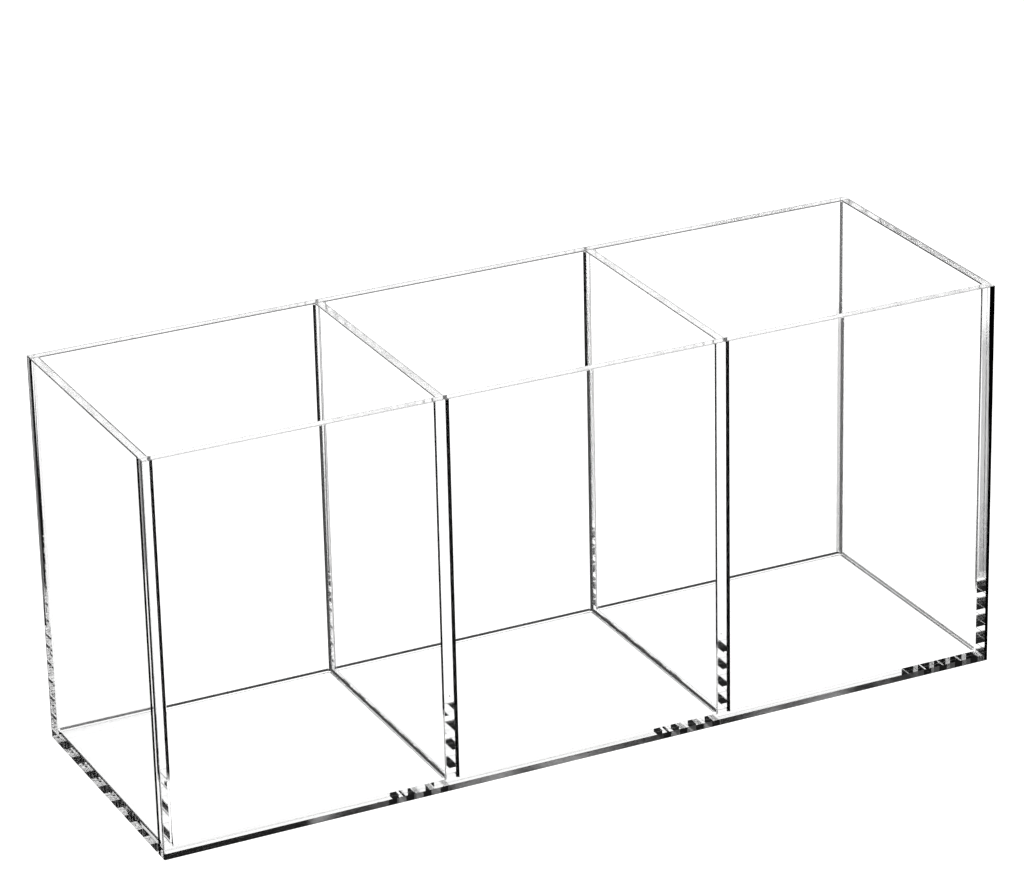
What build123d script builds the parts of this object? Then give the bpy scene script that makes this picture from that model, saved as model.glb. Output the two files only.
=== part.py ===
from build123d import *
import os

# Clear open-topped box in three bays, made of flat cast acrylic sheets joined with solvent cement.
# Millimetres. Origin at the middle of the underside, X along the length, -Y the front, Z up.

# Overall size
length = 230.0  # outside, left to right
depth = 75.0  # outside, front to back
height = 104.0  # outside, underside to rim

# Sheet stock
base_sheet = 2.5  # floor
wall_sheet = 2.5  # front and back
cross_sheet = 2.5  # ends and dividers

# Cement
bond_line = 0.1  # cured film between two sheets
bead_leg = 0.8  # how far the squeezed-out bead reaches along each sheet
bead_throat = 0.4  # from the inside corner to the middle of the bead's hollow face

# Edge finish
edge_round = 0.25  # flame-polished arris on every open edge

# The sheets across the box, from left to right; the bays between them are all as wide as each other.
cross_names = ["left_end_panel", "left_divider", "right_divider", "right_end_panel"]
bays = len(cross_names) - 1

# What follows from the sizes above
panel_bottom = base_sheet + bond_line
inner_front = -depth / 2 + wall_sheet
inner_back = depth / 2 - wall_sheet
bay_width = (length - len(cross_names) * cross_sheet) / bays
cross_left = [-length / 2 + i * (bay_width + cross_sheet) for i in range(len(cross_names))]


def block(low, high):
    """A square-edged block between its lowest and its highest corner."""
    size = [b - a for a, b in zip(low, high)]
    return Pos(*low) * Box(*size, align=(Align.MIN, Align.MIN, Align.MIN))


def outermost(shape, along, towards, side):
    """The edges along one axis that lie furthest out (side 1) or in (side -1) on another."""
    return shape.edges().filter_by(along).group_by(towards)[-1 if side > 0 else 0]


def long_wall_span(side):
    """The lowest and highest Y of the front (side -1) or back (side 1) panel."""
    return (-depth / 2, inner_front) if side < 0 else (inner_back, depth / 2)


def bead(middle, first, second, reach):
    """A concave bead of cement in an inside corner, reach long.

    middle is half way along the corner; first and second point out of it along the two sheets.
    """
    section = Plane(origin=middle, x_dir=first, z_dir=Vector(*first).cross(Vector(*second)))
    hollow = bead_throat / 2**0.5
    outline = Wire(
        [
            Line((0, 0), (bead_leg, 0)),
            ThreePointArc((bead_leg, 0), (hollow, hollow), (0, bead_leg)),
            Line((0, bead_leg), (0, 0)),
        ]
    )
    return extrude(section * Face(outline), amount=reach / 2, both=True)


def make_base():
    """The floor sheet, under all the walls, with its open edges polished."""
    plate = block((-length / 2, -depth / 2, 0), (length / 2, depth / 2, base_sheet))
    open_edges = plate.edges().group_by(Axis.Z)[0] + plate.edges().filter_by(Axis.Z)
    return fillet(open_edges, edge_round)


def make_long_panel(side):
    """The front (side -1) or back (side 1) sheet, the full length of the box."""
    low, high = long_wall_span(side)
    panel = block((-length / 2, low, panel_bottom), (length / 2, high, height))
    rim = outermost(panel, Axis.X, Axis.Z, 1) + outermost(panel, Axis.Y, Axis.Z, 1)
    corners = outermost(panel, Axis.Z, Axis.Y, side)
    return fillet(rim + corners, edge_round)


def make_cross_panel(left):
    """An end or a divider: one sheet between the front and the back, with its rim polished."""
    panel = block(
        (left, inner_front + bond_line, panel_bottom),
        (left + cross_sheet, inner_back - bond_line, height),
    )
    return fillet(outermost(panel, Axis.Y, Axis.Z, 1), edge_round)


def bay_faces(index):
    """Each face of a cross panel that looks into a bay, as its X and its side (-1 left, 1 right)."""
    faces = []
    if index > 0:
        faces.append((cross_left[index], -1))
    if index < bays:
        faces.append((cross_left[index] + cross_sheet, 1))
    return faces


def long_floor_seam(side):
    """Cement under the front (side -1) or back (side 1) panel, with a bead along each bay."""
    low, high = long_wall_span(side)
    film = block((-length / 2, low, base_sheet), (length / 2, high, panel_bottom))
    seam = fillet(outermost(film, Axis.Z, Axis.Y, side), edge_round)
    inner = low if side > 0 else high
    for left in cross_left[:-1]:
        middle = (left + cross_sheet + bay_width / 2, inner, base_sheet)
        seam += bead(middle, (0, -side, 0), (0, 0, 1), bay_width - 2 * bead_leg)
    return seam


def cross_floor_seam(index):
    """Cement under an end or a divider, with a bead along each side that faces a bay."""
    left = cross_left[index]
    seam = block((left, inner_front, base_sheet), (left + cross_sheet, inner_back, panel_bottom))
    for face, side in bay_faces(index):
        middle = (face, (inner_front + inner_back) / 2, base_sheet)
        seam += bead(middle, (side, 0, 0), (0, 0, 1), inner_back - inner_front - 2 * bead_leg)
    return seam


def upright_seam(index, end):
    """Cement between a cross panel and the front (end -1) or back (end 1) panel, with its beads."""
    left = cross_left[index]
    wall = inner_front if end < 0 else inner_back
    low, high = sorted((wall, wall - end * bond_line))
    top = height - edge_round
    seam = block((left, low, panel_bottom), (left + cross_sheet, high, top))
    for face, side in bay_faces(index):
        middle = (face, wall, (base_sheet + top) / 2)
        seam += bead(middle, (side, 0, 0), (0, -end, 0), top - base_sheet)
    return seam


def build_pieces():
    """Every piece of the box by its name."""
    pieces = {
        "base_plate": make_base(),
        "front_panel": make_long_panel(-1),
        "back_panel": make_long_panel(1),
        "front_floor_seam": long_floor_seam(-1),
        "back_floor_seam": long_floor_seam(1),
    }
    for index, name in enumerate(cross_names):
        place = name.removesuffix("_panel")
        pieces[name] = make_cross_panel(cross_left[index])
        pieces[f"{place}_floor_seam"] = cross_floor_seam(index)
        pieces[f"{place}_front_seam"] = upright_seam(index, -1)
        pieces[f"{place}_back_seam"] = upright_seam(index, 1)
    return pieces


os.makedirs("parts", exist_ok=True)
for piece_name, piece in build_pieces().items():
    export_step(piece, f"parts/{piece_name}.step")
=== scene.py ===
import logging
import math
from collections.abc import Callable
from dataclasses import dataclass
from enum import Enum

import bpy
from mathutils import Matrix, Vector


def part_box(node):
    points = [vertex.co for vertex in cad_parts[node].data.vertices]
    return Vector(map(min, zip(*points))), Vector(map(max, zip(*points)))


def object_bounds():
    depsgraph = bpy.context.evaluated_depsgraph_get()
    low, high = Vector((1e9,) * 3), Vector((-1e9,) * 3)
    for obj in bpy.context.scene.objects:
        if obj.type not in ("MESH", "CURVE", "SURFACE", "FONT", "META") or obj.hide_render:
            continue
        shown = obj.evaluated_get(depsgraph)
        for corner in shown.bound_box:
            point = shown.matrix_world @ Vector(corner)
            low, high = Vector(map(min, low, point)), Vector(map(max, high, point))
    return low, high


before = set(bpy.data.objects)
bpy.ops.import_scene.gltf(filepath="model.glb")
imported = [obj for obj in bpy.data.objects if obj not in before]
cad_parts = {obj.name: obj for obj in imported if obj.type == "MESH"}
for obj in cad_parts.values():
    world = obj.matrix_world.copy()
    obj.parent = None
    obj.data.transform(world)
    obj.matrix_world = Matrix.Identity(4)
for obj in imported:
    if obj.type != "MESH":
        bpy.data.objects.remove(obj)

CAD_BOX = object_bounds()
MM = 0.001
LOG = logging.getLogger("brush_holder")


class Slot(Enum):
    """The names of the two material slots, for the clear acrylic and the cured cement."""

    ACRYLIC = "clear_acrylic"
    CEMENT = "cured_cement"


class Wiring:
    """One node tree being wired up, with short calls for the nodes that the finishes use."""

    def __init__(self, tree: bpy.types.NodeTree) -> None:
        """Empties the tree, so that only what is added here is in it."""
        tree.nodes.clear()
        self.tree = tree

    def node(self, kind: str, **settings: object) -> bpy.types.Node:
        """Adds one node.

        Args:
            kind: The node's type name, without its ShaderNode prefix.
            settings: Properties to set on the node.

        Returns:
            The new node.
        """
        made = self.tree.nodes.new("ShaderNode" + kind)
        for name, value in settings.items():
            setattr(made, name, value)
        return made

    def put(self, socket: bpy.types.NodeSocket, value: object) -> None:
        """Links another node's output to a socket, or sets the socket's own value.

        Args:
            socket: The input that takes it.
            value: The output to link, or a plain value.
        """
        if isinstance(value, bpy.types.NodeSocket):
            self.tree.links.new(value, socket)
        else:
            socket.default_value = value

    def math(self, operation: str, *values: object) -> bpy.types.NodeSocket:
        """One Math node.

        Args:
            operation: Blender's name for the operation.
            values: Its inputs in order, each a number or another node's output.

        Returns:
            The node's output.
        """
        made = self.node("Math", operation=operation)
        for socket, value in zip(made.inputs, values):
            self.put(socket, value)
        return made.outputs[0]

    def ramp(
        self, value: object, start: float, end: float, low: float = 0.0, high: float = 1.0
    ) -> bpy.types.NodeSocket:
        """A value that goes evenly from low, at start, to high, at end, and stays there.

        Args:
            value: What it depends on.
            start: Where the change starts.
            end: Where the change ends.
            low: The result up to the start.
            high: The result from the end on.

        Returns:
            The result.
        """
        made = self.node("MapRange")
        inputs = {"Value": value, "From Min": start, "From Max": end, "To Min": low, "To Max": high}
        for name, setting in inputs.items():
            self.put(made.inputs[name], setting)
        return made.outputs["Result"]

    def largest(self, *values: object) -> bpy.types.NodeSocket:
        """The largest of several values, which for masks is where any of them holds.

        Args:
            values: Other nodes' outputs, or numbers.

        Returns:
            The largest one.
        """
        result = values[0]
        for value in values[1:]:
            result = self.math("MAXIMUM", result, value)
        return result

    def product(self, *values: object) -> bpy.types.NodeSocket:
        """Several values multiplied together, which for masks is where all of them hold.

        Args:
            values: Other nodes' outputs, or numbers.

        Returns:
            Their product.
        """
        result = values[0]
        for value in values[1:]:
            result = self.math("MULTIPLY", result, value)
        return result

    def two_or_more(self, *masks: object) -> bpy.types.NodeSocket:
        """Tells where at least two of several masks hold.

        Args:
            masks: Values that are each 0 or 1.

        Returns:
            1 there and 0 elsewhere.
        """
        count = masks[0]
        for mask in masks[1:]:
            count = self.math("ADD", count, mask)
        between_one_and_two = 1.5
        return self.math("GREATER_THAN", count, between_one_and_two)

    def between(self, value: object, low: float, high: float) -> bpy.types.NodeSocket:
        """1 where a value is between two others."""
        return self.product(self.math("GREATER_THAN", value, low), self.math("LESS_THAN", value, high))

    def object_axes(self) -> list[bpy.types.NodeSocket]:
        """Reads where the shaded point is, in the holder's own axes.

        Returns:
            Its X, Y and Z.
        """
        place = self.node("TexCoord")
        parts = self.node("SeparateXYZ")
        self.tree.links.new(place.outputs["Object"], parts.inputs[0])
        return list(parts.outputs)


@dataclass(frozen=True)
class Bonds:
    """Where the cement joins the sheets into one clear body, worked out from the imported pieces.

    Light passes a cemented face as if it weren't there, so such faces let it straight through.

    Attributes:
        half_length: From the middle of the box to its end faces.
        half_depth: From the middle of the box to its front and back faces.
        height: The rim's height.
        inner_depth: From the middle of the box to the inner faces of the long walls.
        first_cross: The X of the middle of the left end.
        pitch: From one cross wall's middle to the next one's.
        cross_half: Half the thickness of a cross wall, and of a long wall.
        floor_top: The height of the floor sheet's upper face.
        bead_reach: How far a bead reaches along a sheet.
        film_top: The height where the upright joints stop.
        skin: How close to a face a point counts as on it.
        square_on: The share of a normal along an axis from which its face is square to the axis.
    """

    half_length: float
    half_depth: float
    height: float
    inner_depth: float
    first_cross: float
    pitch: float
    cross_half: float
    floor_top: float
    bead_reach: float
    film_top: float
    skin: float = 0.05 * MM
    square_on: float = 0.999

    @classmethod
    def from_frame(cls) -> "Bonds":
        """Reads the sizes off the sheets and seams.

        Returns:
            The places of the joints.
        """
        low, high = CAD_BOX
        _, front_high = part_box("front_panel")
        end_low, end_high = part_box("left_end_panel")
        divider_low, divider_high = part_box("left_divider")
        _, seam_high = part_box("left_end_front_seam")
        first = (end_low.x + end_high.x) / 2
        return cls(
            half_length=high.x,
            half_depth=high.y,
            height=high.z,
            inner_depth=-front_high.y,
            first_cross=first,
            pitch=(divider_low.x + divider_high.x) / 2 - first,
            cross_half=(end_high.x - end_low.x) / 2,
            floor_top=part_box("base_plate")[1].z,
            bead_reach=seam_high.x - end_high.x,
            film_top=seam_high.z,
        )

    def right_of_cross(self, wiring: Wiring, x: bpy.types.NodeSocket) -> bpy.types.NodeSocket:
        """How far a point is to the right of the middle of the nearest end or divider."""
        from_first = wiring.math("SUBTRACT", x, self.first_cross)
        return wiring.math("WRAP", from_first, self.pitch / 2, -self.pitch / 2)

    def behind_long(self, wiring: Wiring, y: bpy.types.NodeSocket) -> bpy.types.NodeSocket:
        """How far a point is behind the middle of the nearest long wall.

        Args:
            wiring: The node tree.
            y: The point's Y.

        Returns:
            The distance, which is less than zero in front of that middle.
        """
        middle = (self.inner_depth + self.half_depth) / 2
        from_middle = wiring.math("SUBTRACT", wiring.math("ABSOLUTE", y), middle)
        return wiring.math("MULTIPLY", from_middle, wiring.math("SIGN", y))

    def beyond_end(self, wiring: Wiring, x: bpy.types.NodeSocket) -> bpy.types.NodeSocket:
        """1 on the outer faces at the two ends."""
        return wiring.math("GREATER_THAN", wiring.math("ABSOLUTE", x), self.half_length - self.skin)

    def beyond_side(self, wiring: Wiring, y: bpy.types.NodeSocket) -> bpy.types.NodeSocket:
        """1 on the outer faces at the front and the back."""
        return wiring.math("GREATER_THAN", wiring.math("ABSOLUTE", y), self.half_depth - self.skin)

    def on_skin(self, wiring: Wiring) -> bpy.types.NodeSocket:
        """Tells the outside of the box and its rim, where nothing is cemented, from the rest.

        Args:
            wiring: The node tree.

        Returns:
            1 on them and 0 elsewhere.
        """
        x, y, z = wiring.object_axes()
        below = wiring.math("LESS_THAN", z, self.skin)
        above = wiring.math("GREATER_THAN", z, self.film_top)
        return wiring.largest(self.beyond_end(wiring, x), self.beyond_side(wiring, y), below, above)

    def sheet_open(self, wiring: Wiring) -> bpy.types.NodeSocket:
        """Tells a sheet's open faces from those that cement covers.

        A joint is where a point is near two of the three kinds of sheet: the floor, a long wall
        and a cross wall.

        Args:
            wiring: The node tree.

        Returns:
            1 on open faces and 0 under cement.
        """
        x, y, z = wiring.object_axes()
        from_cross = wiring.math("ABSOLUTE", self.right_of_cross(wiring, x))
        across = wiring.math("ABSOLUTE", y)
        near_cross = wiring.math("LESS_THAN", from_cross, self.cross_half + self.bead_reach)
        near_long = wiring.math("GREATER_THAN", across, self.inner_depth - self.bead_reach)
        near_floor = wiring.math("LESS_THAN", z, self.floor_top + self.bead_reach)
        joint = wiring.two_or_more(near_cross, near_long, near_floor)
        hidden = wiring.math("GREATER_THAN", joint, self.on_skin(wiring))
        return wiring.math("SUBTRACT", 1.0, hidden)

    def square_faced(self, wiring: Wiring) -> bpy.types.NodeSocket:
        """Tells faces square to an axis from rounded arrises and the beads' hollow faces.

        Args:
            wiring: The node tree.

        Returns:
            1 on square faces and 0 on the others.
        """
        facing = wiring.node("NewGeometry")
        parts = wiring.node("SeparateXYZ")
        wiring.put(parts.inputs[0], facing.outputs["True Normal"])
        steepest = wiring.largest(*[wiring.math("ABSOLUTE", part) for part in parts.outputs])
        return wiring.math("GREATER_THAN", steepest, self.square_on)

    def cement_open(self, wiring: Wiring) -> bpy.types.NodeSocket:
        """1 on the cement's own surface and 0 where it lies on a sheet, which is square to an axis."""
        hidden = wiring.math("GREATER_THAN", self.square_faced(wiring), self.on_skin(wiring))
        return wiring.math("SUBTRACT", 1.0, hidden)


@dataclass(frozen=True)
class ClearFinish:
    """A glossy clear plastic whose colour and clarity are darkened by painted shade over the piece.

    Attributes:
        name: The material's name.
        refraction: The plastic's index of refraction.
        surface_gloss: How strongly its surface mirrors.
        usual_noise: Where most of a noise texture's values lie.
    """

    name: str
    refraction: float = 1.49
    surface_gloss: float = 0.5
    usual_noise: tuple[float, float] = (0.35, 0.65)

    def clarity_under_painted_shade(self, wiring: Wiring, bonds: Bonds) -> bpy.types.NodeSocket:
        """How much light gets through the painted shade: 1 where the plastic is clear, 0 where the
        painted shade reads black.
        """
        raise NotImplementedError

    def bare(self, wiring: Wiring, bonds: Bonds) -> bpy.types.NodeSocket:
        """1 on the piece's bare surface and 0 where it is cemented to its neighbour."""
        raise NotImplementedError

    def softness(self, wiring: Wiring, bonds: Bonds) -> bpy.types.NodeSocket:
        """The roughness over the piece."""
        raise NotImplementedError

    def ripple(self, wiring: Wiring, bonds: Bonds) -> bpy.types.NodeSocket:
        """The height of the surface's waviness in metres."""
        raise NotImplementedError

    def noise(self, wiring: Wiring, length: float, detail: float = 2.0) -> bpy.types.NodeSocket:
        """Soft random cells over the piece.

        Args:
            wiring: The node tree.
            length: The size of a cell.
            detail: How many finer layers are added.

        Returns:
            A value from 0 to 1, mostly near a half.
        """
        place = wiring.node("TexCoord")
        cells = wiring.node("TexNoise")
        wiring.put(cells.inputs["Vector"], place.outputs["Object"])
        wiring.put(cells.inputs["Scale"], 1.0 / length)
        wiring.put(cells.inputs["Detail"], detail)
        return cells.outputs[0]

    def outside_only(self, wiring: Wiring, depth: bpy.types.NodeSocket) -> bpy.types.NodeSocket:
        """Keeps a shade for light that meets the surface from the air, and drops it from within."""
        side = wiring.node("NewGeometry")
        return wiring.math("MULTIPLY", depth, wiring.math("SUBTRACT", 1.0, side.outputs["Backfacing"]))

    def material(self, bonds: Bonds) -> bpy.types.Material:
        """Wires up the finish.

        Args:
            bonds: Where the pieces are cemented together.

        Returns:
            The new material.
        """
        made = bpy.data.materials.new(self.name)
        made.use_nodes = True
        wiring = Wiring(made.node_tree)
        body = wiring.node("BsdfPrincipled")
        clarity_under_painted_shade = self.clarity_under_painted_shade(wiring, bonds)
        # The painted shade darkens the base colour and the transmission alike.
        tone = wiring.node("CombineColor")
        for channel in tone.inputs:
            wiring.put(channel, clarity_under_painted_shade)
        bump = wiring.node("Bump")
        wiring.put(bump.inputs["Distance"], 1.0)
        wiring.put(bump.inputs["Height"], self.ripple(wiring, bonds))
        wiring.put(body.inputs["Base Color"], tone.outputs[0])
        wiring.put(body.inputs["Roughness"], self.softness(wiring, bonds))
        wiring.put(body.inputs["IOR"], self.refraction)
        wiring.put(body.inputs["Specular IOR Level"], self.surface_gloss)
        wiring.put(body.inputs["Transmission Weight"], clarity_under_painted_shade)
        wiring.put(body.inputs["Alpha"], self.bare(wiring, bonds))
        wiring.put(body.inputs["Normal"], bump.outputs[0])
        out = wiring.node("OutputMaterial")
        wiring.put(out.inputs["Surface"], body.outputs[0])
        return made


def give_finishes(
    parts: list[bpy.types.Object], finish_for: Callable[[str], ClearFinish], bonds: Bonds
) -> None:
    """Makes each finish that is wanted once, and gives every part its own.

    Args:
        parts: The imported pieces.
        finish_for: Tells the finish of a piece by the piece's name.
        bonds: Where the pieces are cemented together.
    """
    wanted = {finish_for(part.name) for part in parts}
    made = {finish: finish.material(bonds) for finish in sorted(wanted, key=lambda each: each.name)}
    for part in parts:
        part.data.materials.clear()
        part.data.materials.append(made[finish_for(part.name)])


@dataclass(frozen=True)
class PaintedCornerShade:
    """A painted grey shade on the long faces beside the box's right-hand corners, deeper lower down.

    Attributes:
        reach: How far it reaches from the corner.
        heights: Where it starts and where it is at its deepest, on the way down.
        depth: How deep it gets.
        foot: Where it stops, if that is above the floor sheet.
    """

    reach: float
    heights: tuple[float, float]
    depth: float
    foot: float = 0.0

    def shade(self, wiring: Wiring, bonds: Bonds) -> bpy.types.NodeSocket:
        """Paints shade on the long faces beside the right-hand corners.

        Args:
            wiring: The node tree.
            bonds: Where the pieces are cemented together.

        Returns:
            The painted shade's depth over the piece.
        """
        x, y, z = wiring.object_axes()
        by_corner = wiring.math("GREATER_THAN", x, bonds.half_length - self.reach)
        over_foot = wiring.math("GREATER_THAN", z, max(self.foot, bonds.floor_top))
        deeper = wiring.ramp(z, *self.heights, 0.0, self.depth)
        return wiring.product(bonds.beyond_side(wiring, y), by_corner, over_foot, deeper)


@dataclass(frozen=True)
class ClearAcrylic(ClearFinish):
    """Water-clear cast acrylic sheet with glossy faces and flame-polished edges.

    A depth is how dark the painted shade makes a place look, from 0 to 1. A wave is the length and the
    height of its cells.

    Attributes:
        runs_across: Whether the sheet is an end or a divider.
        arris_depths: The depth of the painted shade on the arrises, at the front and at the back.
        arris: The radius of the flame-polished arrises.
        rim_line: The width of the painted dark line along the right or the back side of the rim.
        rim_softness: The roughness of the rim's dullest patches.
        rim_patch: The size of those patches.
        joint_line: Where the painted dark line of a joint lies on the end faces, from the long wall's
            inner face.
        corner_line: The width of the painted dark line beside an end face's arris.
        right_reaches: How far the painted dark lines at the right-hand corners reach, low down and high
            up.
        reach_change: Between which heights that reach changes.
        corner_shade: The painted shade beside the right-hand corners that is seen from outside.
        back_corner_shade: The painted shade on the back face beside the right-hand corner, which is seen
            from both sides.
        edge_band: The height of the painted dark band along the floor sheet's long edges.
        edge_depths: The least and the greatest depth of that band.
        edge_dark_end: Between which places the band's darkest end fades.
        edge_darkest: The depth of that end.
        edge_patch: The size of the band's patches.
        blocks: Where the band's painted dark blocks start and stop, from a cross wall's middle.
        block_pitch: From one block to the next.
        block_share: How much of the pitch a block takes up.
        block_depths: The depth between the blocks and in them.
        cut_edge_shade_depth: The depth of the painted shade over the long walls' cut edges.
        cut_edge_shade_feet: The height where that painted shade starts, at the front and at the back.
        fade: How far above and below a height a painted shade fades.
        rim_wave: The waves that the flame left on the rim.
        face_wave: The waves that casting left on the faces.
    """

    runs_across: bool = False
    # Painted shade on the rounded arrises, and a painted dark line along the rim.
    arris_depths: tuple[float, float] = (0.45, 0.45)
    arris: float = 0.25 * MM
    rim_line: float = 0.3 * MM
    rim_softness: float = 0.3
    rim_patch: float = 2.5 * MM
    # Painted dark lines on the end faces, at the joints and beside the corners.
    joint_line: tuple[float, float] = (-0.95 * MM, 0.45 * MM)
    corner_line: float = 0.3 * MM
    # Painted dark lines along the right-hand corners, wider towards the rim.
    right_reaches: tuple[float, float] = (1.0 * MM, 1.6 * MM)
    reach_change: tuple[float, float] = (60.0 * MM, 92.0 * MM)
    # Painted grey shade beside the right-hand corners, on the front and on the back.
    corner_shade: PaintedCornerShade = PaintedCornerShade(
        reach=4.4 * MM, heights=(52.0 * MM, 26.0 * MM), depth=0.4, foot=24.0 * MM)
    back_corner_shade: PaintedCornerShade = PaintedCornerShade(reach=3.2 * MM, heights=(78.0 * MM, 68.0 * MM), depth=0.42)
    # Painted shade along the floor sheet's long edges: a patchy dark band, darkest at the left end, with
    # dark blocks by the cross walls.
    edge_band: float = 1.75 * MM
    edge_depths: tuple[float, float] = (0.72, 0.93)
    edge_dark_end: tuple[float, float] = (-78.0 * MM, -68.0 * MM)
    edge_darkest: float = 0.97
    edge_patch: float = 16.0 * MM
    blocks: tuple[float, float] = (-17.85 * MM, -1.6 * MM)
    block_pitch: float = 4.65 * MM
    block_share: float = 0.47
    block_depths: tuple[float, float] = (0.72, 0.98)
    # Painted shade over the long walls' cut edges on the end faces, starting higher at the back.
    cut_edge_shade_depth: float = 0.6
    cut_edge_shade_feet: tuple[float, float] = (76.0 * MM, 42.0 * MM)
    fade: float = 2.0 * MM
    rim_wave: tuple[float, float] = (1.2 * MM, 0.002 * MM)
    face_wave: tuple[float, float] = (35.0 * MM, 0.012 * MM)

    def on_rim(self, wiring: Wiring, bonds: Bonds) -> bpy.types.NodeSocket:
        """1 on the flat top of the sheet's upper edge."""
        _, _, z = wiring.object_axes()
        return wiring.math("GREATER_THAN", z, bonds.height - bonds.skin)

    def clarity_under_painted_shade(self, wiring: Wiring, bonds: Bonds) -> bpy.types.NodeSocket:
        """Clear on the faces, with painted shade along the edges, the joints and the upright corners.

        Args:
            wiring: The node tree.
            bonds: Where the pieces are cemented together.

        Returns:
            1 where the sheet is clear, down to 0 where the painted shade reads black.
        """
        # Painted shade seen from outside: the edge band, the arrises, the end-face lines, the corner
        # lines and the corner shade.
        from_outside = wiring.largest(
            self.edge_shade(wiring, bonds),
            self.outline_shade(wiring, bonds),
            self.end_shade(wiring, bonds),
            self.right_line(wiring, bonds),
            self.corner_shade.shade(wiring, bonds),
        )
        # Painted shade on the back face beside the right-hand corner, seen from both sides.
        _, y, _ = wiring.object_axes()
        at_back = wiring.math("GREATER_THAN", y, 0.0)
        from_both = wiring.product(at_back, self.back_corner_shade.shade(wiring, bonds))
        depth = wiring.largest(self.outside_only(wiring, from_outside), from_both)
        return wiring.math("SUBTRACT", 1.0, depth)

    def edge_shade(self, wiring: Wiring, bonds: Bonds) -> bpy.types.NodeSocket:
        """Painted shade on the floor sheet's long edges: a patchy dark band, darkest at the left end,
        with dark blocks beside each cross wall.

        Args:
            wiring: The node tree.
            bonds: Where the pieces are cemented together.

        Returns:
            The painted shade's depth over the sheet.
        """
        x, y, z = wiring.object_axes()
        across = wiring.math("ABSOLUTE", y)
        low = wiring.math("LESS_THAN", z, self.edge_band)
        by_long_edge = wiring.math("GREATER_THAN", across, bonds.half_depth - self.arris)
        patches = self.noise(wiring, self.edge_patch, detail=1.0)
        patch_depth = wiring.ramp(patches, *self.usual_noise, *self.edge_depths)
        dark_end = wiring.ramp(x, *self.edge_dark_end, self.edge_darkest, 0.0)
        from_cross = bonds.right_of_cross(wiring, x)
        into_blocks = wiring.math("SUBTRACT", from_cross, self.blocks[0])
        counted = wiring.math("DIVIDE", into_blocks, self.block_pitch)
        in_block = wiring.math("LESS_THAN", wiring.math("FRACT", counted), self.block_share)
        by_cross = wiring.between(from_cross, *self.blocks)
        blocks = wiring.product(by_cross, wiring.ramp(in_block, 0.0, 1.0, *self.block_depths))
        elsewhere = wiring.product(patch_depth, wiring.math("SUBTRACT", 1.0, by_cross))
        return wiring.product(low, by_long_edge, wiring.largest(elsewhere, dark_end, blocks))

    def outline_shade(self, wiring: Wiring, bonds: Bonds) -> bpy.types.NodeSocket:
        """Painted shade on the rounded arrises, and a painted dark line along one side of the rim.

        Args:
            wiring: The node tree.
            bonds: Where the pieces are cemented together.

        Returns:
            The shade's depth over the sheet.
        """
        x, y, _ = wiring.object_axes()
        arris = wiring.math("SUBTRACT", 1.0, bonds.square_faced(wiring))
        if self.runs_across:
            past_middle = bonds.right_of_cross(wiring, x)
        else:
            past_middle = bonds.behind_long(wiring, y)
        by_side = wiring.math("GREATER_THAN", past_middle, bonds.cross_half - self.arris - self.rim_line)
        rim_line = wiring.product(self.on_rim(wiring, bonds), by_side)
        at_back = wiring.math("GREATER_THAN", y, 0.0)
        depth = wiring.ramp(at_back, 0.0, 1.0, *self.arris_depths)
        return wiring.product(wiring.largest(arris, rim_line), depth)

    def end_shade(self, wiring: Wiring, bonds: Bonds) -> bpy.types.NodeSocket:
        """Painted shade on the box's end faces: over the long walls' cut edges, and dark lines at their
        joints and corners.

        Args:
            wiring: The node tree.
            bonds: Where the pieces are cemented together.

        Returns:
            The shade's depth over the sheet.
        """
        x, y, z = wiring.object_axes()
        across = wiring.math("ABSOLUTE", y)
        at_front = wiring.math("LESS_THAN", y, 0.0)
        at_back = wiring.math("GREATER_THAN", y, 0.0)
        foot = wiring.ramp(at_back, 0.0, 1.0, *self.cut_edge_shade_feet)
        above_foot = wiring.ramp(wiring.math("SUBTRACT", z, foot), -self.fade, self.fade)
        past_inner = wiring.math("SUBTRACT", across, bonds.inner_depth)
        joint = wiring.product(
            wiring.between(past_inner, *self.joint_line), wiring.largest(at_front, above_foot))
        corner = wiring.math("GREATER_THAN", across, bonds.half_depth - self.arris - self.corner_line)
        cut_edge = wiring.math("GREATER_THAN", past_inner, 0.0)
        # Painted shade over the cut edges, above their foot.
        cut_edge_shade = wiring.product(cut_edge, above_foot, self.cut_edge_shade_depth)
        return wiring.product(bonds.beyond_end(wiring, x), wiring.largest(cut_edge_shade, joint, corner))

    def right_line(self, wiring: Wiring, bonds: Bonds) -> bpy.types.NodeSocket:
        """A painted dark line on the long faces along the right-hand corners, wider towards the rim.

        Args:
            wiring: The node tree.
            bonds: Where the pieces are cemented together.

        Returns:
            The shade's depth over the sheet.
        """
        x, y, z = wiring.object_axes()
        reach = wiring.ramp(z, *self.reach_change, *self.right_reaches)
        by_corner = wiring.math("GREATER_THAN", wiring.math("ADD", x, reach), bonds.half_length)
        return wiring.product(bonds.beyond_side(wiring, y), by_corner)

    def bare(self, wiring: Wiring, bonds: Bonds) -> bpy.types.NodeSocket:
        """The sheet's faces and edges that no cement covers."""
        return bonds.sheet_open(wiring)

    def softness(self, wiring: Wiring, bonds: Bonds) -> bpy.types.NodeSocket:
        """Mirror-smooth faces, and a rim that the flame left slightly soft in places.

        Args:
            wiring: The node tree.
            bonds: Where the pieces are cemented together.

        Returns:
            The roughness over the sheet.
        """
        patches = self.noise(wiring, self.rim_patch)
        roughness = wiring.ramp(patches, *self.usual_noise, self.rim_softness / 2, self.rim_softness)
        return wiring.math("MULTIPLY", roughness, self.on_rim(wiring, bonds))

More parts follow.
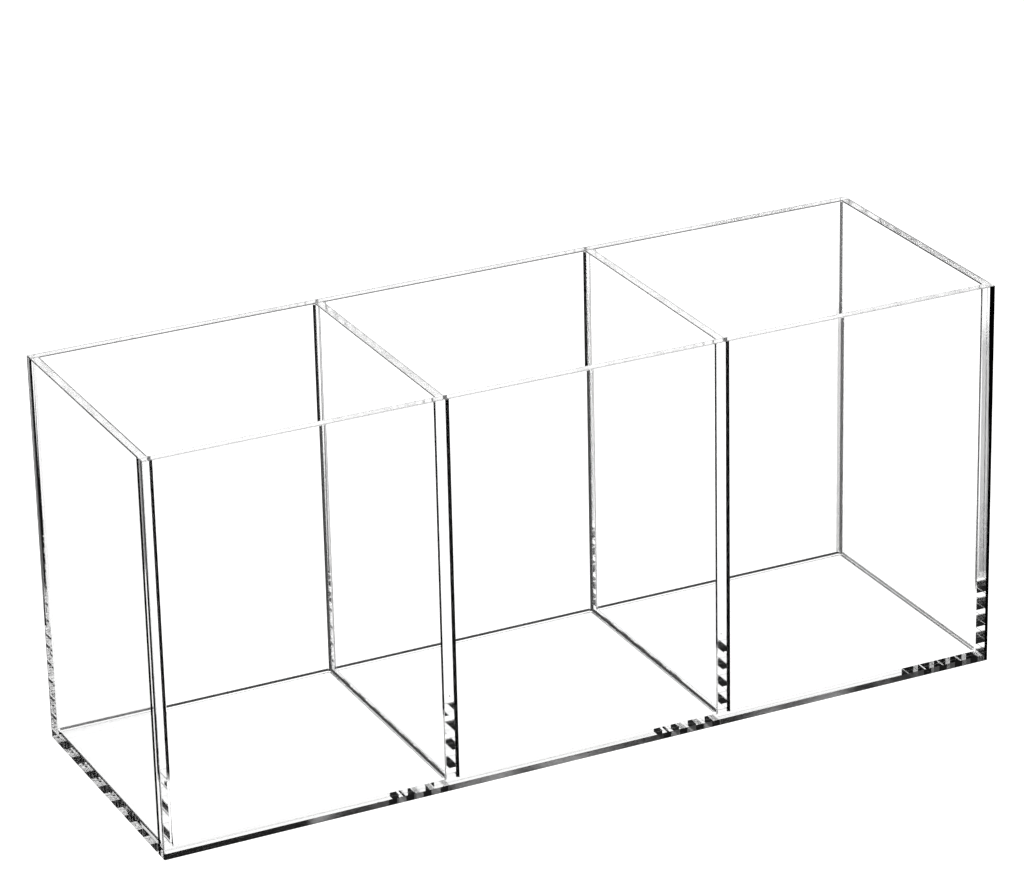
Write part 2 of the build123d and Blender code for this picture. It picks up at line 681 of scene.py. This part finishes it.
    def ripple(self, wiring: Wiring, bonds: Bonds) -> bpy.types.NodeSocket:
        """The faint waviness that a flame leaves on the rim, and casting leaves on the faces.

        Args:
            wiring: The node tree.
            bonds: Where the pieces are cemented together.

        Returns:
            The height of the waves over the sheet.
        """
        rim_length, rim_height = self.rim_wave
        face_length, face_height = self.face_wave
        rim_cells = self.noise(wiring, rim_length, detail=0.0)
        rim = wiring.product(rim_cells, rim_height, self.on_rim(wiring, bonds))
        face = wiring.math("MULTIPLY", self.noise(wiring, face_length, detail=0.0), face_height)
        return wiring.math("ADD", rim, face)


@dataclass(frozen=True)
class CuredCement(ClearFinish):
    """Solvent cement, cured glossy, with a painted dark reflection along its beads in the inside
    corners.

    Attributes:
        roughness: The roughness of the glossiest places.
        dull_gain: How many times rougher the dullest places are.
        dull_patch: The size of a dull place.
        dull_noise: Between which noise values the cement goes from glossy to dull.
        bead_clarity: How much light gets through the painted dark reflection in a bead's middle.
        core: How far that middle reaches along the walls.
        core_height: How far it reaches above the floor sheet.
        left_foot: Where it starts above the floor, on a cross wall's left side.
        right_foot: The same on its right side.
        fade: How far above and below its foot it fades.
        from_within: Whether it is seen through the sheets too.
        joint_depth: How dark the painted line on a joint's edge is on the end faces.
        wave: The length and the height of the bead's waves.
    """

    surface_gloss: float = 0.1
    roughness: float = 0.05
    dull_gain: float = 3.0
    dull_patch: float = 3.0 * MM
    dull_noise: tuple[float, float] = (0.4, 0.7)
    bead_clarity: float = 0.03
    core: float = 0.6 * MM
    core_height: float = 0.6 * MM
    left_foot: float = 0.0
    right_foot: float = 0.0
    fade: float = 1.5 * MM
    from_within: bool = True
    joint_depth: float = 0.95
    wave: tuple[float, float] = (1.5 * MM, 0.01 * MM)

    def clarity_under_painted_shade(self, wiring: Wiring, bonds: Bonds) -> bpy.types.NodeSocket:
        """A painted dark reflection along the middle of the beads, clear at their thin edges and below
        their foot.

        Args:
            wiring: The node tree.
            bonds: Where the pieces are cemented together.

        Returns:
            1 where the cement is clear, down to 0 where the painted reflection reads black.
        """
        x, y, z = wiring.object_axes()
        from_middle = bonds.right_of_cross(wiring, x)
        off_cross = wiring.math("SUBTRACT", wiring.math("ABSOLUTE", from_middle), bonds.cross_half)
        off_long = wiring.math("SUBTRACT", bonds.inner_depth, wiring.math("ABSOLUTE", y))
        off_floor = wiring.math("SUBTRACT", z, bonds.floor_top)
        reaches = (off_cross, self.core), (off_long, self.core), (off_floor, self.core_height)
        core = wiring.two_or_more(*[wiring.math("LESS_THAN", off, reach) for off, reach in reaches])
        on_right = wiring.math("GREATER_THAN", from_middle, 0.0)
        foot = wiring.ramp(on_right, 0.0, 1.0, self.left_foot, self.right_foot)
        above_foot = wiring.ramp(wiring.math("SUBTRACT", z, foot), -self.fade, self.fade)
        # Painted dark reflection in the beads' middles, above their foot.
        depth = wiring.product(core, above_foot, 1.0 - self.bead_clarity)
        if not self.from_within:
            depth = self.outside_only(wiring, depth)
        # A painted dark line on the upright joints' edges on the end faces.
        upright = wiring.math("GREATER_THAN", off_floor, bonds.bead_reach)
        joint = wiring.product(bonds.beyond_end(wiring, x), upright, self.joint_depth)
        return wiring.math("SUBTRACT", 1.0, wiring.largest(depth, joint))

    def bare(self, wiring: Wiring, bonds: Bonds) -> bpy.types.NodeSocket:
        """The cement's own surface, off the sheets."""
        return bonds.cement_open(wiring)

    def softness(self, wiring: Wiring, bonds: Bonds) -> bpy.types.NodeSocket:
        """Glossy, with a few duller places where it skinned over."""
        patches = self.noise(wiring, self.dull_patch)
        return wiring.ramp(patches, *self.dull_noise, self.roughness, self.dull_gain * self.roughness)

    def ripple(self, wiring: Wiring, bonds: Bonds) -> bpy.types.NodeSocket:
        """The uneven run of a bead that set as it flowed."""
        length, height = self.wave
        return wiring.math("MULTIPLY", self.noise(wiring, length), height)


@dataclass
class SheetBox:
    """The seven acrylic sheets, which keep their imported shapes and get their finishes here.

    Attributes:
        bonds: Where the pieces are cemented together.
        long_sheets: The finish of the floor sheet and of the long walls.
        dividers: The finish of the two dividers.
        left_end: The finish of the left end.
        right_end: The finish of the right end.
    """

    bonds: Bonds
    # Each sheet's finish sets how dark its painted arris shade is at the front and at the back.
    long_sheets: ClearAcrylic = ClearAcrylic(name="long_wall_acrylic", arris_depths=(0.4, 0.75))
    dividers: ClearAcrylic = ClearAcrylic(
        name="divider_acrylic", runs_across=True, rim_wave=(1.2 * MM, 0.001 * MM))
    left_end: ClearAcrylic = ClearAcrylic(
        name="left_end_acrylic", runs_across=True, arris_depths=(0.8, 0.65),
        rim_wave=(1.2 * MM, 0.001 * MM))
    right_end: ClearAcrylic = ClearAcrylic(
        name="right_end_acrylic", runs_across=True, arris_depths=(0.85, 0.8),
        rim_wave=(1.2 * MM, 0.0005 * MM))

    def finish_for(self, name: str) -> ClearAcrylic:
        """Chooses a sheet's finish.

        Args:
            name: The sheet's name.

        Returns:
            Its finish.
        """
        named = {
            "left_end_panel": self.left_end,
            "left_divider": self.dividers,
            "right_divider": self.dividers,
            "right_end_panel": self.right_end,
        }
        return named.get(name, self.long_sheets)

    def dress(self) -> list[bpy.types.Object]:
        """Gives every sheet its acrylic finish.

        Returns:
            The sheets.
        """
        sheets = [part for name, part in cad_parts.items() if not name.endswith("_seam")]
        give_finishes(sheets, self.finish_for, self.bonds)
        return sheets


@dataclass
class CementSeams:
    """The cured cement of the fourteen joints.

    Attributes:
        bonds: Where the pieces are cemented together.
        upright: The cement between the dividers and the back wall.
        divider_front: The cement between the dividers and the front wall.
        left_front: The cement between the left end and the front wall.
        left_back: The cement between the left end and the back wall.
        right_front: The cement between the right end and the front wall.
        right_back: The cement between the right end and the back wall.
        level: The cement on the floor sheet, under the dividers and the back wall.
        left_floor: The cement on the floor sheet, under the left end.
        right_floor: The cement on the floor sheet, under the right end.
        front_floor: The cement on the floor sheet, under the front wall.
    """

    bonds: Bonds
    # Each cement sets how dark its painted bead reflection is and from which height it starts.
    upright: CuredCement = CuredCement(name="upright_cement")
    divider_front: CuredCement = CuredCement(
        name="divider_front_cement", core=0.8 * MM, left_foot=21.0 * MM)
    left_front: CuredCement = CuredCement(
        name="left_front_cement", core=0.7 * MM, right_foot=21.0 * MM)
    left_back: CuredCement = CuredCement(
        name="left_back_cement", bead_clarity=0.9, right_foot=42.0 * MM)
    right_front: CuredCement = CuredCement(
        name="right_front_cement", core=0.8 * MM, bead_clarity=0.12, left_foot=21.0 * MM)
    right_back: CuredCement = CuredCement(name="right_back_cement", bead_clarity=0.25)
    level: CuredCement = CuredCement(
        name="floor_cement", core=0.3 * MM, core_height=0.8 * MM, from_within=False)
    left_floor: CuredCement = CuredCement(
        name="left_floor_cement", bead_clarity=0.0, core=0.8 * MM, core_height=0.8 * MM)
    right_floor: CuredCement = CuredCement(
        name="right_floor_cement", core=0.3 * MM, core_height=0.3 * MM, bead_clarity=1.0, roughness=0.01)
    front_floor: CuredCement = CuredCement(
        name="front_floor_cement", bead_clarity=0.8, from_within=False)

    def finish_for(self, name: str) -> CuredCement:
        """Chooses a seam's finish.

        Args:
            name: The seam's name.

        Returns:
            Its finish.
        """
        named = {
            "left_end_front_seam": self.left_front,
            "left_end_back_seam": self.left_back,
            "left_divider_front_seam": self.divider_front,
            "right_divider_front_seam": self.divider_front,
            "right_end_front_seam": self.right_front,
            "right_end_back_seam": self.right_back,
            "left_end_floor_seam": self.left_floor,
            "right_end_floor_seam": self.right_floor,
            "front_floor_seam": self.front_floor,
        }
        return named.get(name, self.level if name.endswith("_floor_seam") else self.upright)

    def dress(self) -> list[bpy.types.Object]:
        """Gives every seam its cement finish.

        Returns:
            The seams.
        """
        seams = [part for name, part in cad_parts.items() if name.endswith("_seam")]
        give_finishes(seams, self.finish_for, self.bonds)
        return seams


@dataclass
class Camera:
    """The photographer's camera, as it was worked out from the box's own corners.

    Attributes:
        azimuth: How far round from the front the camera stands, to the right.
        elevation: How steeply it looks down.
        roll: How far it leans over.
        distance: From the camera to the plane through the middle of the box's underside.
        aim_across: How far to the right of that middle it looks.
        aim_up: How far above it.
        sensor: The width of the sensor in millimetres.
        lens: The focal length in millimetres.
        clip: The nearest and the farthest that it sees.
    """

    azimuth: float = math.radians(-25.71)
    elevation: float = math.radians(23.06)
    roll: float = math.radians(-1.298)
    distance: float = 1182 * MM
    aim_across: float = -3.439 * MM
    aim_up: float = 64.77 * MM
    sensor: float = 36.0
    lens: float = 162.42
    clip: tuple[float, float] = (10 * MM, 100.0)

    def place(self) -> bpy.types.Object:
        """Makes the camera and gives it to the scene.

        Returns:
            The camera.
        """
        bpy.ops.object.camera_add()
        camera = bpy.context.object
        back = Vector((
            math.sin(self.azimuth) * math.cos(self.elevation),
            -math.cos(self.azimuth) * math.cos(self.elevation),
            math.sin(self.elevation),
        ))
        right = Vector((0, 0, 1)).cross(back).normalized()
        up = back.cross(right)
        turned_right = right * math.cos(self.roll) + up * math.sin(self.roll)
        turned_up = up * math.cos(self.roll) - right * math.sin(self.roll)
        pose = Matrix((turned_right, turned_up, back)).transposed().to_4x4()
        aim = turned_right * self.aim_across + turned_up * self.aim_up
        pose.translation = aim + back * self.distance
        camera.matrix_world = pose
        camera.data.sensor_fit = "HORIZONTAL"
        camera.data.sensor_width = self.sensor
        camera.data.lens = self.lens
        camera.data.clip_start, camera.data.clip_end = self.clip
        bpy.context.scene.camera = camera
        return camera


@dataclass
class Studio:
    """A pale floor that glows softly, a pale backdrop behind it and a dark room around.

    Attributes:
        floor_reach: From the middle of the floor to its edges, in metres.
        floor_drop: How far the floor lies under the box.
        floor_glow: The floor's brightness.
        mirrored_glow: Its brightness in a reflection.
        backdrop: The direction of the backdrop's middle.
        backdrop_edges: How close to that direction the glow starts, and where it is full.
        backdrop_glow: The brightness of the backdrop and of the light overhead.
        overhead_edges: How steeply up the light overhead starts, and where it is full.
        room_glow: The brightness of the rest of the room.
        direct_glow: The room's brightness where the camera sees it past the box.
        bounces: How often light turns inside the sheets.
    """

    floor_reach: float = 6.0
    floor_drop: float = 0.3 * MM
    floor_glow: float = 1.35
    mirrored_glow: float = 0.02
    backdrop: tuple[float, float, float] = (0.43, 0.9, 0.0)
    backdrop_edges: tuple[float, float] = (0.7, 0.85)
    backdrop_glow: float = 1.35
    overhead_edges: tuple[float, float] = (0.6, 0.75)
    room_glow: float = 0.02
    direct_glow: float = 1.25
    bounces: int = 96

    def floor_material(self) -> bpy.types.Material:
        """Makes a pale surface with its own even glow, which shows little in the gloss of the box.

        Returns:
            The new material.
        """
        made = bpy.data.materials.new("pale_floor")
        made.use_nodes = True
        wiring = Wiring(made.node_tree)
        path = wiring.node("LightPath")
        direct = wiring.math("SUBTRACT", 1.0, path.outputs["Is Reflection Ray"])
        seen = wiring.math("MULTIPLY", direct, self.floor_glow)
        glow = wiring.node("Emission")
        wiring.put(glow.inputs["Strength"], wiring.math("MAXIMUM", seen, self.mirrored_glow))
        out = wiring.node("OutputMaterial")
        wiring.put(out.inputs["Surface"], glow.outputs[0])
        return made

    def lay_floor(self) -> bpy.types.Object:
        """Makes the floor.

        Returns:
            The floor.
        """
        bpy.ops.object.select_all(action="DESELECT")
        bpy.ops.mesh.primitive_plane_add(size=2 * self.floor_reach, location=(0, 0, -self.floor_drop))
        floor = bpy.context.object
        floor.name = "studio_floor"
        floor.data.materials.append(self.floor_material())
        bpy.ops.object.transform_apply(location=True, rotation=True, scale=True)
        return floor

    def light_room(self) -> None:
        """Makes the backdrop's glow, the soft light overhead and the dark room, by direction."""
        world = bpy.data.worlds.new("studio_room")
        bpy.context.scene.world = world
        world.use_nodes = True
        wiring = Wiring(world.node_tree)
        ray = wiring.node("TexCoord")
        towards = wiring.node("VectorMath", operation="DOT_PRODUCT")
        wiring.put(towards.inputs[0], ray.outputs["Generated"])
        wiring.put(towards.inputs[1], Vector(self.backdrop).normalized())
        glows = self.room_glow, self.backdrop_glow
        backdrop = wiring.ramp(towards.outputs["Value"], *self.backdrop_edges, *glows)
        parts = wiring.node("SeparateXYZ")
        wiring.put(parts.inputs[0], ray.outputs["Generated"])
        overhead = wiring.ramp(parts.outputs[2], *self.overhead_edges, *glows)
        path = wiring.node("LightPath")
        direct = wiring.math("MULTIPLY", path.outputs["Is Camera Ray"], self.direct_glow)
        background = wiring.node("Background")
        wiring.put(background.inputs["Strength"], wiring.largest(backdrop, overhead, direct))
        out = wiring.node("OutputWorld")
        wiring.put(out.inputs["Surface"], background.outputs[0])

    def set_up(self) -> None:
        """Lays the floor, lights the room and lets light travel far enough inside the sheets."""
        self.lay_floor()
        self.light_room()
        scene = bpy.context.scene
        scene.view_settings.view_transform = "Standard"
        scene.cycles.max_bounces = self.bounces
        scene.cycles.transmission_bounces = self.bounces
        scene.cycles.glossy_bounces = self.bounces
        scene.cycles.transparent_max_bounces = self.bounces
        scene.cycles.caustics_reflective = False
        scene.cycles.caustics_refractive = False


def main() -> None:
    """Builds the dressed holder and its studio."""
    logging.basicConfig(level=logging.INFO, format="%(message)s")
    bonds = Bonds.from_frame()
    for part in SheetBox(bonds).dress() + CementSeams(bonds).dress():
        low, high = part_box(part.name)
        size = (high - low) / MM
        LOG.info("%s: %.1f x %.1f x %.1f mm", part.name, *size)
    Studio().set_up()
    Camera().place()


if __name__ == "__main__":
    main()
